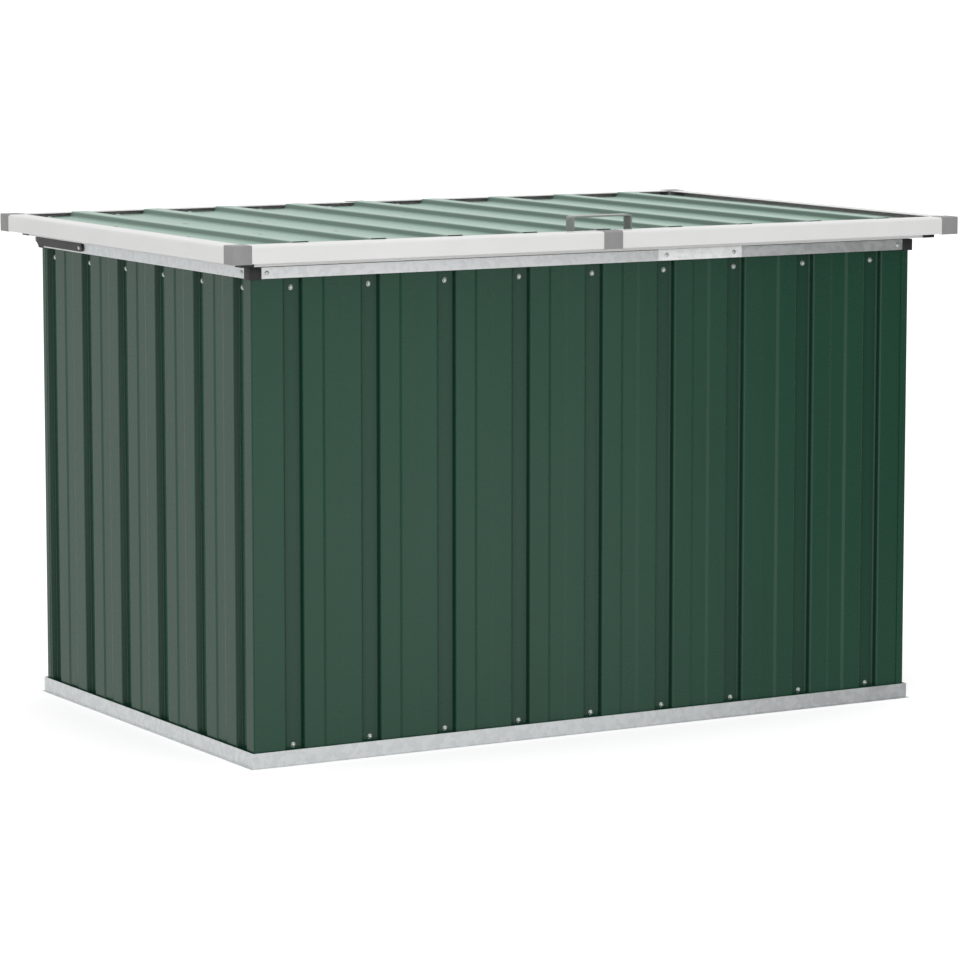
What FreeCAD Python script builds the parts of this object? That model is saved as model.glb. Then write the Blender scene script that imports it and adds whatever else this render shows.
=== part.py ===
import FreeCAD, Part
import math
import os

from FreeCAD import Vector

# A steel garden storage box with a hinged lid. Millimetres, +Z up.
# The origin is on the floor, under the middle of the lid. The front is at -Y.

# Overall sizes
lid_length = 1490.0
lid_width = 965.0
box_height = 859.2
front_overhang = 58.8
rear_overhang = 36.7
end_overhang = 60.9

# Sheet metal
sheet_thickness = 0.6
rail_thickness = 1.0

# Grooves of the wall sheets and ribs of the lid sheets
groove_depth = 9.2
groove_mouth = 36.6
groove_floor = 30.0
groove_bend_radius = 4.0
groove_pitch = 150.0
end_groove_pitch = 154.0
end_groove_shift = 4.5
pan_width = 33.0
pan_slope = 6.0
pan_depth = 1.5
lap_past_groove = 6.0

# Base rails
base_rail_height = 27.0
base_rail_inner_leg = 45.0
floor_flange = 5.0
wall_setback = 5.0

# Corner strips
strip_radius = 3.5
strip_leg = 16.0

# Top rails, their splices and their corners
top_rail_height = 19.4
top_rail_inner_leg = 52.0
connector_leg = 22.0
connector_wall = 3.0
connector_proud = 0.5
connector_drop = 1.5
connector_spigot = 25.0
connector_spigot_thickness = 2.6
spigot_clearance = 0.3
connector_screw_inset = 10.0
splice_length = 177.0
splice_thickness = 1.5
splice_inset = 0.3
splice_from_lap = 68.0
splice_screw_inset = 17.0

# Wall bolts and nuts
bolt_radius = 2.5
bolt_hole_clearance = 0.2
bolt_washer_radius = 4.8
bolt_washer_thickness = 1.0
bolt_head_radius = 3.8
bolt_head_top_radius = 2.7
bolt_head_height = 2.6
bolt_below_rail = 17.4
bolt_above_rail = 6.0
nut_width = 8.0
nut_height = 4.0
bolt_past_nut = 1.0

# Screws of the splices, hinges, lid and handle
screw_radius = 2.0
screw_hole_clearance = 0.2
screw_head_radius = 4.0
screw_head_top_radius = 2.6
screw_head_height = 2.0
screw_past_hole = 3.0

# Lid frame
lid_gap = 3.3
lip_height = 7.1
frame_height = 32.2
rail_width = 35.0
rail_round = 5.0
cover_proud = 0.8
ledge_width = 22.0
ledge_clearance = 0.3
cap_length = 36.0
cap_wall = 2.0
cap_round = 2.0
clip_length = 38.0
clip_wrap = 26.0
corner_bracket_leg = 24.0
corner_bracket_thickness = 3.0

# Lid sheets, cross bars and handle
sheet_below_frame = 8.0
sheet_edge_clearance = 0.5
cross_bar_spread = 300.0
cross_bar_width = 30.0
cross_bar_depth = 15.0
lid_screw_inset = 10.0
handle_length = 122.0
handle_rise = 25.0
handle_width = 25.0
handle_thickness = 3.0
handle_foot = 28.0
handle_bend = 5.0
handle_from_rail = 2.0

# Hinges
hinge_arm_length = 200.0
hinge_arm_height = 15.0
hinge_arm_below_top = 1.5
hinge_plate_thickness = 3.0
hinge_arm_chamfer = 9.0
hinge_screw_inset = 12.0
hinge_barrel_length = 64.0
hinge_plate_tail = 24.0
knuckle_radius = 5.5
knuckle_length = 20.0
knuckle_side_gap = 0.3
knuckle_web = 6.0
pin_radius = 3.0
pin_clearance = 0.05
pin_head_radius = 4.5
pin_head_length = 2.0
hinge_axis_below_top = 6.2
leaf_foot_inset = 3.0

# Places worked out from the sizes above
box_length = lid_length - 2 * end_overhang
front_y = front_overhang - lid_width / 2
rear_y = lid_width / 2 - rear_overhang
box_width = rear_y - front_y
box_middle_y = (front_y + rear_y) / 2
inner_leg_y = wall_setback + groove_depth + 2 * sheet_thickness
rail_depth = inner_leg_y + rail_thickness
top_rail_bottom = box_height - top_rail_height
bolt_top_z = top_rail_bottom - bolt_below_rail
bolt_foot_z = base_rail_height + bolt_above_rail
frame_bottom = box_height + lid_gap + lip_height
frame_top = frame_bottom + frame_height
lid_flat_top = frame_top - sheet_below_frame
ledge_top = lid_flat_top - 2 * sheet_thickness
lid_sheet_inset = rail_width + sheet_edge_clearance
rail_bottom = frame_bottom + cover_proud
rail_top = frame_top - cover_proud
hinge_y = rear_y + connector_proud + hinge_plate_thickness + knuckle_radius
hinge_z = box_height - hinge_axis_below_top
hinge_arm_top = box_height - hinge_arm_below_top
hinge_arm_bottom = hinge_arm_top - hinge_arm_height

SIDES = {
    "front": (0.0, Vector(0, front_y, 0)),
    "rear": (180.0, Vector(0, rear_y, 0)),
    "left": (-90.0, Vector(-box_length / 2, box_middle_y, 0)),
    "right": (90.0, Vector(box_length / 2, box_middle_y, 0)),
}
LID_SIDES = {
    "front": (0.0, Vector(0, -lid_width / 2, 0)),
    "rear": (180.0, Vector(0, lid_width / 2, 0)),
    "left": (-90.0, Vector(-lid_length / 2, 0, 0)),
    "right": (90.0, Vector(lid_length / 2, 0, 0)),
}
CORNERS = {
    "front_left": ("front", -1),
    "front_right": ("front", 1),
    "rear_left": ("rear", 1),
    "rear_right": ("rear", -1),
}
parts = {}


def place(shape, side, sides=SIDES):
    """Moves a shape from the drawing frame of a side to its place.

    In the drawing frame X runs along the side, to the right as seen from outside,
    Y = 0 is the outer face and +Y points inwards.
    """
    turn, move = sides[side]
    placed = shape.copy()
    placed.rotate(Vector(0, 0, 0), Vector(0, 0, 1), turn)
    placed.translate(move)
    return placed


def mirrored(shape):
    """The shape reflected from one end of a side to the other."""
    return shape.mirror(Vector(0, 0, 0), Vector(1, 0, 0))


def box(low, high):
    """A block between two corners."""
    size = Vector(*high) - Vector(*low)
    return Part.makeBox(size.x, size.y, size.z, Vector(*low))


def rod_y(x, z, radius, start, end):
    """A cylinder along Y."""
    return Part.makeCylinder(radius, end - start, Vector(x, start, z), Vector(0, 1, 0))


def rod_x(y, z, radius, start, end):
    """A cylinder along X."""
    return Part.makeCylinder(radius, end - start, Vector(start, y, z), Vector(1, 0, 0))


def rod_z(x, y, radius, start, end):
    """A cylinder along Z."""
    return Part.makeCylinder(radius, end - start, Vector(x, y, start), Vector(0, 0, 1))


def cut_all(shape, tools):
    """The shape less every tool."""
    return shape.cut(tools) if tools else shape


def corner_arc(before, corner, after, radius):
    """The start, middle and end of the arc that rounds a corner."""
    back = (before - corner).normalize()
    ahead = (after - corner).normalize()
    half = back.getAngle(ahead) / 2
    reach = radius / math.tan(half)
    middle_line = (back + ahead).normalize()
    centre = corner + middle_line * (radius / math.sin(half))
    return corner + back * reach, centre - middle_line * radius, corner + ahead * reach


def path_edges(vertices, closed):
    """Lines through (point, radius) vertices, with an arc at each vertex that has a radius."""
    count = len(vertices)
    stops = []
    for index, (point, radius) in enumerate(vertices):
        inside = closed or 0 < index < count - 1
        if radius > 0 and inside:
            before = vertices[index - 1][0]
            after = vertices[(index + 1) % count][0]
            stops.append(corner_arc(before, point, after, radius))
        else:
            stops.append((point, None, point))
    edges = []
    for index, (start, middle, end) in enumerate(stops):
        if middle is not None:
            edges.append(Part.Arc(start, middle, end).toShape())
        if closed or index < count - 1:
            edges.append(Part.LineSegment(end, stops[(index + 1) % count][0]).toShape())
    return edges


def outline_face(vertices):
    """A flat face inside a closed outline of (point, radius) vertices."""
    return Part.Face(Part.Wire(path_edges(vertices, True)))


def section_yz(points, x, rounds=None):
    """A face across a rail at x, from (y, z) points, with radii by the points' indices."""
    rounds = rounds or {}
    vertices = [(Vector(x, y, z), rounds.get(index, 0)) for index, (y, z) in enumerate(points)]
    return outline_face(vertices)


def rail(points, start, end, rounds=None):
    """A rail of a constant section along X."""
    return section_yz(points, start, rounds).extrude(Vector(end - start, 0, 0))


def groove_centres(run, pitch):
    """Centres of the grooves on a wall, spread evenly about its middle."""
    clear_run = run - 2 * wall_setback - groove_mouth - 2 * strip_leg
    count = int(clear_run // pitch) + 1
    return [(index - (count - 1) / 2) * pitch for index in range(count)]


def toward_rear(side):
    """The direction along X, in the drawing frame of an end, that leads to the rear."""
    return -1 if side == "left" else 1


def end_grooves(side):
    """Centres of the grooves on an end wall, which stand a little nearer to the rear."""
    shift = toward_rear(side) * end_groove_shift
    return [x + shift for x in groove_centres(box_width, end_groove_pitch)]


def pan_line(flat_middle, offset):
    """The shallow pan in the flat between two grooves, as (along, depth, radius) values."""
    outer = (pan_width + pan_slope) / 2
    inner = (pan_width - pan_slope) / 2
    return [
        (flat_middle - outer, offset, 0.0),
        (flat_middle - inner, offset + pan_depth, 0.0),
        (flat_middle + inner, offset + pan_depth, 0.0),
        (flat_middle + outer, offset, 0.0),
    ]


def sheet_line(start, end, grooves, panned, offset):
    """A line along a grooved sheet, moved in by the offset, as (along, depth, radius) values."""
    wall_angle = math.atan2(groove_depth, (groove_mouth - groove_floor) / 2)
    spread = offset * math.tan(wall_angle / 2)
    mouth = groove_mouth / 2 + spread
    floor = groove_floor / 2 + spread
    line = [(start, offset, 0.0)]
    for index, centre in enumerate(grooves):
        if panned and index > 0:
            line.extend(pan_line((grooves[index - 1] + centre) / 2, offset))
        line.append((centre - mouth, offset, groove_bend_radius))
        line.append((centre - floor, offset + groove_depth, groove_bend_radius))
        line.append((centre + floor, offset + groove_depth, groove_bend_radius))
        line.append((centre + mouth, offset, groove_bend_radius))
    line.append((end, offset, 0.0))
    return line


def sheet_face(start, end, grooves, panned, offset, to_point):
    """The cut end of a grooved sheet, one sheet thickness deep from the offset."""
    outer_line = sheet_line(start, end, grooves, panned, offset)
    inner_line = sheet_line(start, end, grooves, panned, offset + sheet_thickness)
    outer = [(to_point(along, depth), radius) for along, depth, radius in outer_line]
    inner = [(to_point(along, depth), radius) for along, depth, radius in reversed(inner_line)]
    edges = path_edges(outer, False)
    edges.append(Part.LineSegment(outer[-1][0], inner[0][0]).toShape())
    edges.extend(path_edges(inner, False))
    edges.append(Part.LineSegment(inner[-1][0], outer[0][0]).toShape())
    return Part.Face(Part.Wire(edges))


def split_grooves():
    """Grooves of the long sheet and of the short sheet, which share the lapped groove."""
    grooves = groove_centres(box_length, groove_pitch)
    lap = len(grooves) * 2 // 3 - 1
    return grooves[:lap + 1], grooves[lap:]


def bolt(x, z, seat):
    """A wall bolt with its washer, whose head stands outwards from its seat."""
    washer = rod_y(x, z, bolt_washer_radius, seat - bolt_washer_thickness, seat)
    head_seat = Vector(x, seat - bolt_washer_thickness, z)
    outwards = Vector(0, -1, 0)
    head = Part.makeCone(bolt_head_radius, bolt_head_top_radius, bolt_head_height, head_seat, outwards)
    shank = rod_y(x, z, bolt_radius, head_seat.y, rail_depth + nut_height + bolt_past_nut)
    return washer.fuse([head, shank]).removeSplitter()


def nut(x, z):
    """A hexagonal nut on the inner face of a rail's inner leg."""
    corner_radius = nut_width / math.sqrt(3)
    sides = 6
    corners = []
    for step in range(sides):
        angle = 2 * math.pi * step / sides
        across = corner_radius * math.cos(angle)
        up = corner_radius * math.sin(angle)
        corners.append((Vector(x + across, rail_depth, z + up), 0))
    face = outline_face(corners)
    hole = rod_y(x, z, bolt_radius + bolt_hole_clearance, rail_depth, rail_depth + nut_height)
    return face.extrude(Vector(0, nut_height, 0)).cut(hole)


def screw(seat, direction, grip):
    """A screw whose head stands on its seat and whose shank goes through the grip along direction."""
    head = Part.makeCone(screw_head_radius, screw_head_top_radius, screw_head_height, seat, -direction)
    shank = Part.makeCylinder(screw_radius, grip + screw_past_hole, seat, direction)
    return head.fuse(shank).removeSplitter()


def screw_hole(seat, direction, grip):
    """The clearance hole of a screw, from its seat through the grip."""
    return Part.makeCylinder(screw_radius + screw_hole_clearance, grip, seat, direction)


def bolt_spots(side):
    """(x, z, seat) of each bolt on a wall, in the drawing frame of its side."""
    floor = wall_setback + groove_depth
    if side in ("left", "right"):
        return [(x, bolt_top_z, floor) for x in end_grooves(side)]
    long_grooves, short_grooves = split_grooves()
    spots = []
    for z in (bolt_top_z, bolt_foot_z):
        spots.extend((x, z, floor) for x in long_grooves)
        spots.extend((x, z, floor + sheet_thickness) for x in short_grooves[1:])
    return spots


def bolt_holes(side):
    """Clearance holes of a wall's bolts, behind the outer legs of the rails."""
    radius = bolt_radius + bolt_hole_clearance
    return [rod_y(x, z, radius, wall_setback, rail_depth) for x, z, seat in bolt_spots(side)]


def drilled_wall(shape, side):
    """A wall sheet or rail with the bolt holes of its side."""
    return cut_all(shape, bolt_holes(side))


def wall_sheet(side, start, end, grooves, set_in):
    """A grooved wall sheet that stands in the base rail and reaches up into the top rail."""
    bottom = rail_thickness
    top = box_height - rail_thickness

    def to_point(along, depth):
        """The place of a point of the sheet's lower end."""
        return Vector(along, wall_setback + depth, bottom)

    face = sheet_face(start, end, grooves, True, set_in, to_point)
    return drilled_wall(face.extrude(Vector(0, 0, top - bottom)), side)


def add_walls():
    """Wall sheets: two lapped sheets on the front and rear, one on each end."""
    sheet_end = box_length / 2 - wall_setback - strip_radius
    long_grooves, short_grooves = split_grooves()
    lap_edge = groove_mouth / 2 + lap_past_groove
    for side in ("front", "rear"):
        long_sheet = wall_sheet(side, -sheet_end, short_grooves[0] + lap_edge, long_grooves, 0)
        short_sheet = wall_sheet(side, short_grooves[0] - lap_edge, sheet_end, short_grooves, sheet_thickness)
        parts[side + "_wall_long_sheet"] = place(long_sheet, side)
        parts[side + "_wall_short_sheet"] = place(short_sheet, side)
    half_end = box_width / 2 - wall_setback - strip_radius
    for side in ("left", "right"):
        sheet = wall_sheet(side, -half_end, half_end, end_grooves(side), 0)
        parts[side + "_wall_sheet"] = place(sheet, side)


def add_corner_strips():
    """Rounded strips over the upright corners, outside the edges of the wall sheets."""
    inner = strip_radius - sheet_thickness
    reach = strip_leg
    for corner, (side, end) in CORNERS.items():
        x = box_length / 2 - wall_setback + sheet_thickness
        y = wall_setback - sheet_thickness
        outline = [
            (Vector(x - reach, y, rail_thickness), 0),
            (Vector(x, y, rail_thickness), strip_radius),
            (Vector(x, y + reach, rail_thickness), 0),
            (Vector(x - sheet_thickness, y + reach, rail_thickness), 0),
            (Vector(x - sheet_thickness, y + sheet_thickness, rail_thickness), inner),
            (Vector(x - reach, y + sheet_thickness, rail_thickness), 0),
        ]
        height = box_height - 2 * rail_thickness
        strip = outline_face(outline).extrude(Vector(0, 0, height))
        parts["corner_strip_" + corner] = place(strip if end > 0 else mirrored(strip), side)


def base_rail(side, half_run):
    """A base rail with a floor flange outwards, mitred at both ends."""
    t = rail_thickness
    section = [
        (-floor_flange, 0),
        (rail_depth, 0),
        (rail_depth, base_rail_inner_leg),
        (inner_leg_y, base_rail_inner_leg),
        (inner_leg_y, t),
        (t, t),
        (t, base_rail_height),
        (0, base_rail_height),
        (0, t),
        (-floor_flange, t),
    ]
    whole = rail(section, -half_run - floor_flange, half_run + floor_flange)
    plan = [
        (Vector(-half_run - floor_flange, -floor_flange, 0), 0),
        (Vector(half_run + floor_flange, -floor_flange, 0), 0),
        (Vector(half_run - rail_depth, rail_depth, 0), 0),
        (Vector(-half_run + rail_depth, rail_depth, 0), 0),
    ]
    mitred = whole.common(outline_face(plan).extrude(Vector(0, 0, base_rail_inner_leg)))
    return drilled_wall(mitred, side)


def add_base_rails():
    """Base rails on the four sides."""
    for side in SIDES:
        half_run = (box_length if side in ("front", "rear") else box_width) / 2
        parts["base_rail_" + side] = place(base_rail(side, half_run), side)


def top_rail(side, start, end):
    """A length of top rail in its place, an upturned channel over the top of the wall sheets."""
    t = rail_thickness
    section = [
        (0, top_rail_bottom),
        (t, top_rail_bottom),
        (t, box_height - t),
        (inner_leg_y, box_height - t),
        (inner_leg_y, box_height - top_rail_inner_leg),
        (rail_depth, box_height - top_rail_inner_leg),
        (rail_depth, box_height),
        (0, box_height),
    ]
    return cut_all(place(drilled_wall(rail(section, start, end), side), side), connector_screw_holes())


def splice_x():
    """Where the two lengths of a front or rear top rail meet."""
    return split_grooves()[1][0] + splice_from_lap


def splice_plate():
    """A plate over the joint of two top rails, folded over their top."""
    t = splice_thickness
    section = [
        (-t, top_rail_bottom + splice_inset),
        (-t, box_height + t),
        (rail_depth, box_height + t),
        (rail_depth, box_height),
        (0, box_height),
        (0, top_rail_bottom + splice_inset),
    ]
    middle = splice_x()
    return rail(section, middle - splice_length / 2, middle + splice_length / 2, {1: t})


def splice_screw_seats():
    """Seats of the two screws of a splice plate."""
    reach = splice_length / 2 - splice_screw_inset
    z = top_rail_bottom + top_rail_height / 2
    return [Vector(splice_x() + step, -splice_thickness, z) for step in (-reach, reach)]


def connector_screw_seats():
    """(side, seat) of the screws into the front connectors; the hinge brackets hold the rear ones."""
    inset = connector_leg + connector_screw_inset
    z = top_rail_bottom + top_rail_height / 2
    front_x = box_length / 2 - inset
    end_x = box_width / 2 - inset
    seats = [("front", Vector(-front_x, 0, z)), ("front", Vector(front_x, 0, z))]
    for side in ("left", "right"):
        seats.append((side, Vector(-toward_rear(side) * end_x, 0, z)))
    return seats


def connector_screw_holes():
    """Clearance holes of the connector screws, through the rails and the spigots."""
    inwards = Vector(0, 1, 0)
    grip = rail_thickness + spigot_clearance + connector_spigot_thickness
    return [place(screw_hole(seat, inwards, grip), side) for side, seat in connector_screw_seats()]


def hinge_screw_seats(side):
    """Seats of a hinge bracket's screws on the end rail or the rear rail, in that side's drawing frame."""
    z = (hinge_arm_top + hinge_arm_bottom) / 2
    y = -connector_proud - hinge_plate_thickness
    if side == "rear":
        x = box_length / 2 - hinge_barrel_length - hinge_plate_tail + hinge_screw_inset
        return [Vector(x, y, z), Vector(-x, y, z)]
    x = toward_rear(side) * (box_width / 2 - hinge_arm_length + hinge_screw_inset)
    return [Vector(x, y, z)]


def hinge_screw_holes(side, grip):
    """Clearance holes of a hinge bracket's screws on a side, in their place."""
    return [place(screw_hole(seat, Vector(0, 1, 0), grip), side) for seat in hinge_screw_seats(side)]


def add_top_rails():
    """Top rails, splice plates and the screws of the plates."""
    inwards = Vector(0, 1, 0)
    splice_grip = splice_thickness + rail_thickness
    hinge_grip = connector_proud + hinge_plate_thickness + rail_thickness
    end = box_length / 2 - connector_leg
    screws = []
    for side in ("front", "rear"):
        splice_holes = [place(screw_hole(seat, inwards, splice_grip), side) for seat in splice_screw_seats()]
        holes = list(splice_holes)
        if side == "rear":
            holes.extend(hinge_screw_holes(side, hinge_grip))
        long_rail = cut_all(top_rail(side, -end, splice_x()), holes)
        short_rail = cut_all(top_rail(side, splice_x(), end), holes)
        parts["top_rail_" + side + "_long"] = long_rail
        parts["top_rail_" + side + "_short"] = short_rail
        parts["splice_plate_" + side] = cut_all(place(splice_plate(), side), splice_holes)
        screws.extend(place(screw(seat, inwards, splice_grip), side) for seat in splice_screw_seats())
    parts["splice_screws"] = Part.makeCompound(screws)
    half_run = box_width / 2 - connector_leg
    for side in ("left", "right"):
        whole = top_rail(side, -half_run, half_run)
        parts["top_rail_" + side] = cut_all(whole, hinge_screw_holes(side, hinge_grip))


def connector():
    """A moulded connector at the right end of a side, with a spigot into each of the two rails."""
    corner_x = box_length / 2
    outer_x = corner_x + connector_proud
    outer_y = -connector_proud
    bottom = top_rail_bottom - connector_drop
    skin_front = box((corner_x - connector_leg, outer_y, bottom), (outer_x, connector_wall, box_height))
    skin_side = box((corner_x - connector_wall, outer_y, bottom), (outer_x, connector_leg, box_height))
    roof_bottom = box_height - rail_thickness
    roof = box((corner_x - connector_leg, outer_y, roof_bottom), (outer_x, connector_leg, box_height))
    near = rail_thickness + spigot_clearance
    far = near + connector_spigot_thickness
    low = top_rail_bottom + connector_wall
    high = roof_bottom - spigot_clearance
    spigot_front = box((corner_x - connector_leg - connector_spigot, near, low), (corner_x - near, far, high))
    spigot_side = box((corner_x - far, near, low), (corner_x - near, connector_leg + connector_spigot, high))
    return skin_front.fuse([skin_side, roof, spigot_front, spigot_side]).removeSplitter()


def connector_screw(seat):
    """A short screw whose shank ends inside the spigot, clear of the wall sheets behind it."""
    inwards = Vector(0, 1, 0)
    head = Part.makeCone(screw_head_radius, screw_head_top_radius, screw_head_height, seat, -inwards)
    depth = rail_thickness + spigot_clearance + connector_spigot_thickness
    return head.fuse(Part.makeCylinder(screw_radius, depth, seat, inwards)).removeSplitter()


def add_connectors():
    """Connectors at the four top corners of the box, and the screws through the rails into them."""
    for corner, (side, end) in CORNERS.items():
        shape = connector()
        placed = place(shape if end > 0 else mirrored(shape), side)
        parts["top_connector_" + corner] = cut_all(placed, connector_screw_holes())
    screws = [place(connector_screw(seat), side) for side, seat in connector_screw_seats()]
    parts["connector_screws"] = Part.makeCompound(screws)


def add_bolts():
    """Wall bolts and their nuts on all four sides."""
    bolts = []
    nuts = []
    for side in SIDES:
        for x, z, seat in bolt_spots(side):
            bolts.append(place(bolt(x, z, seat), side))
            nuts.append(place(nut(x, z), side))
    parts["wall_bolts"] = Part.makeCompound(bolts)
    parts["wall_nuts"] = Part.makeCompound(nuts)


def knuckle_spans():
    """Spans along X of the two bracket knuckles and the leaf knuckle between them, at the right end."""
    outer_end = box_length / 2
    middle = outer_end - hinge_barrel_length / 2
    leaf_half = hinge_barrel_length / 2 - knuckle_length - knuckle_side_gap
    bracket = [
        (outer_end - hinge_barrel_length, outer_end - hinge_barrel_length + knuckle_length),
        (outer_end - knuckle_length, outer_end),
    ]
    return bracket, (middle - leaf_half, middle + leaf_half)


def hinge_bracket():
    """The right hinge bracket: an arm along the end rail, a rear plate and two knuckles."""
    inner_x = box_length / 2 + connector_proud
    outer_x = inner_x + hinge_plate_thickness
    inner_y = rear_y + connector_proud
    outer_y = inner_y + hinge_plate_thickness
    front_end = rear_y - hinge_arm_length
    arm_round = hinge_arm_height / 2
    plate_bottom = hinge_arm_bottom + hinge_arm_chamfer
    arm_outline = [
        (Vector(inner_x, outer_y, hinge_arm_top), 0),
        (Vector(inner_x, front_end + arm_round, hinge_arm_top), 0),
        (Vector(inner_x, front_end + arm_round, hinge_arm_bottom), 0),
        (Vector(inner_x, outer_y - hinge_arm_chamfer, hinge_arm_bottom), 0),
        (Vector(inner_x, outer_y, plate_bottom), 0),
    ]
    arm = outline_face(arm_outline).extrude(Vector(hinge_plate_thickness, 0, 0))
    arm_middle = hinge_arm_bottom + arm_round
    arm_nose = rod_x(front_end + arm_round, arm_middle, arm_round, inner_x, outer_x)
    plate_start = box_length / 2 - hinge_barrel_length - hinge_plate_tail
    plate = box((plate_start, inner_y, plate_bottom), (outer_x, outer_y, hinge_arm_top))
    pieces = [arm_nose, plate]
    for start, end in knuckle_spans()[0]:
        pieces.append(rod_x(hinge_y, hinge_z, knuckle_radius, start, end))
        web_low = (start, inner_y, hinge_z - knuckle_web / 2)
        pieces.append(box(web_low, (end, hinge_y, hinge_z + knuckle_web / 2)))
    bracket = arm.fuse(pieces).removeSplitter()
    bore = rod_x(hinge_y, hinge_z, pin_radius + pin_clearance, plate_start, box_length / 2)
    return bracket.cut(bore)


def hinge_leaf():
    """The right hinge leaf: a knuckle, an upright plate and a foot under the lid's rear rail."""
    start, end = knuckle_spans()[1]
    plate_back = hinge_y + knuckle_radius
    plate_front = plate_back - hinge_plate_thickness
    foot_bottom = rail_bottom - hinge_plate_thickness
    knuckle = rod_x(hinge_y, hinge_z, knuckle_radius, start, end)
    plate = box((start, plate_front, hinge_z), (end, plate_back, rail_bottom))
    foot_front = lid_width / 2 - rail_width + leaf_foot_inset
    foot_back = lid_width / 2 - cover_proud - leaf_foot_inset
    foot = box((start, foot_front, foot_bottom), (end, foot_back, rail_bottom))
    bore = rod_x(hinge_y, hinge_z, pin_radius + pin_clearance, start, end)
    leaf = knuckle.fuse([plate, foot]).removeSplitter().cut(bore)
    return cut_all(leaf, leaf_screw_holes())


def leaf_screw_seats():
    """Seats of the right hinge leaf's screws, under its foot and behind its plate."""
    start, end = knuckle_spans()[1]
    y = (hinge_y + knuckle_radius + lid_width / 2 - cover_proud - leaf_foot_inset) / 2
    quarter = (end - start) / 4
    return [Vector(x, y, rail_bottom - hinge_plate_thickness) for x in (start + quarter, end - quarter)]


def leaf_screw_holes():
    """Clearance holes of both hinge leaves' screws, through the foot and the underside of the rail."""
    grip = hinge_plate_thickness + rail_thickness
    holes = [screw_hole(seat, Vector(0, 0, 1), grip) for seat in leaf_screw_seats()]
    return holes + [mirrored(hole) for hole in holes]


def hinge_pin():
    """The right hinge pin, headed at both ends."""
    end = box_length / 2
    start = end - hinge_barrel_length
    pin = rod_x(hinge_y, hinge_z, pin_radius, start, end)
    inner_head = rod_x(hinge_y, hinge_z, pin_head_radius, start - pin_head_length, start)
    outer_head = rod_x(hinge_y, hinge_z, pin_head_radius, end, end + pin_head_length)
    return pin.fuse([inner_head, outer_head]).removeSplitter()


def add_hinges():
    """Hinge brackets, leaves, pins and their screws at both rear corners."""
    inwards = Vector(0, 1, 0)
    upwards = Vector(0, 0, 1)
    bracket_grip = connector_proud + hinge_plate_thickness
    rail_grip = bracket_grip + rail_thickness
    holes = []
    bracket_screws = []
    for side in ("rear", "left", "right"):
        holes.extend(hinge_screw_holes(side, bracket_grip))
        for seat in hinge_screw_seats(side):
            bracket_screws.append(place(screw(seat, inwards, rail_grip), side))
    bracket = hinge_bracket()
    leaf = hinge_leaf()
    leaf_grip = hinge_plate_thickness + rail_thickness
    leaf_screws = [screw(seat, upwards, leaf_grip) for seat in leaf_screw_seats()]
    parts["hinge_bracket_right"] = cut_all(bracket, holes)
    parts["hinge_bracket_left"] = cut_all(mirrored(bracket), holes)
    parts["hinge_leaf_right"] = leaf
    parts["hinge_leaf_left"] = mirrored(leaf)
    parts["hinge_pins"] = Part.makeCompound([hinge_pin(), mirrored(hinge_pin())])
    parts["hinge_bracket_screws"] = Part.makeCompound(bracket_screws)
    parts["hinge_leaf_screws"] = Part.makeCompound(leaf_screws + [mirrored(one) for one in leaf_screws])


def lid_rail(start, end, ledge_start, ledge_end):
    """A length of lid rail: a channel open to the sheets, with a lip below and a ledge for the sheets."""
    t = rail_thickness
    section = [
        (cover_proud, rail_bottom),
        (cover_proud, rail_top),
        (rail_width, rail_top),
        (rail_width, rail_top - t),
        (cover_proud + t, rail_top - t),
        (cover_proud + t, rail_bottom + t),
        (rail_width - t, rail_bottom + t),
        (rail_width - t, ledge_top),
        (rail_width, ledge_top),
        (rail_width, frame_bottom - lip_height),
        (rail_width - t, frame_bottom - lip_height),
        (rail_width - t, rail_bottom),
    ]
    channel = rail(section, start, end, {1: rail_round, 4: rail_round - t})
    ledge = box((ledge_start, rail_width, ledge_top - t), (ledge_end, rail_width + ledge_width, ledge_top))
    return channel.fuse(ledge).removeSplitter()


def lid_screw_lines():
    """Rows of lid screws: y of each row, and x of the screws along it."""
    grooves = groove_centres(box_length, groove_pitch)
    flats = [x + groove_pitch / 2 for x in grooves[:-1]]
    edge = (grooves[-1] + groove_mouth / 2 + lid_length / 2 - rail_width) / 2
    columns = [-edge] + flats + [edge]
    row = lid_width / 2 - rail_width - lid_screw_inset
    return [-row, -cross_bar_spread / 2, cross_bar_spread / 2, row], columns


def lid_screw_spots():
    """(x, y) of each lid screw, apart from those whose place the handle's feet take."""
    rows, columns = lid_screw_lines()
    spots = [(x, y) for y in rows for x in columns]
    return [spot for spot in spots if not under_handle(spot)]


def under_handle(spot):
    """Whether a spot lies on the stretch of the lid that the handle covers."""
    x, y = spot
    return abs(x) < handle_length / 2 + handle_foot and y < handle_front_y() + handle_width


def handle_front_y():
    """The front edge of the handle, just behind the front rail."""
    return rail_width + handle_from_rail - lid_width / 2


def handle_screw_spots():
    """(x, y) of the handle's screws, in the middle of its feet."""
    x = handle_length / 2 + handle_foot / 2
    y = handle_front_y() + handle_width / 2
    return [(-x, y), (x, y)]


def short_sheet_drop(x):
    """How much lower the top of the lid is at x: the short sheet lies under the long one."""
    lap_centre = split_grooves()[1][0]
    long_sheet_end = lap_centre + groove_mouth / 2 + lap_past_groove
    return sheet_thickness if x > long_sheet_end else 0.0


def lid_screw_holes():
    """Clearance holes for the screws of the lid and the handle, down through the bars."""
    radius = screw_radius + screw_hole_clearance
    bottom = ledge_top - cross_bar_depth
    top = lid_flat_top + handle_thickness
    spots = lid_screw_spots() + handle_screw_spots()
    return [rod_z(x, y, radius, bottom, top) for x, y in spots]


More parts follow.
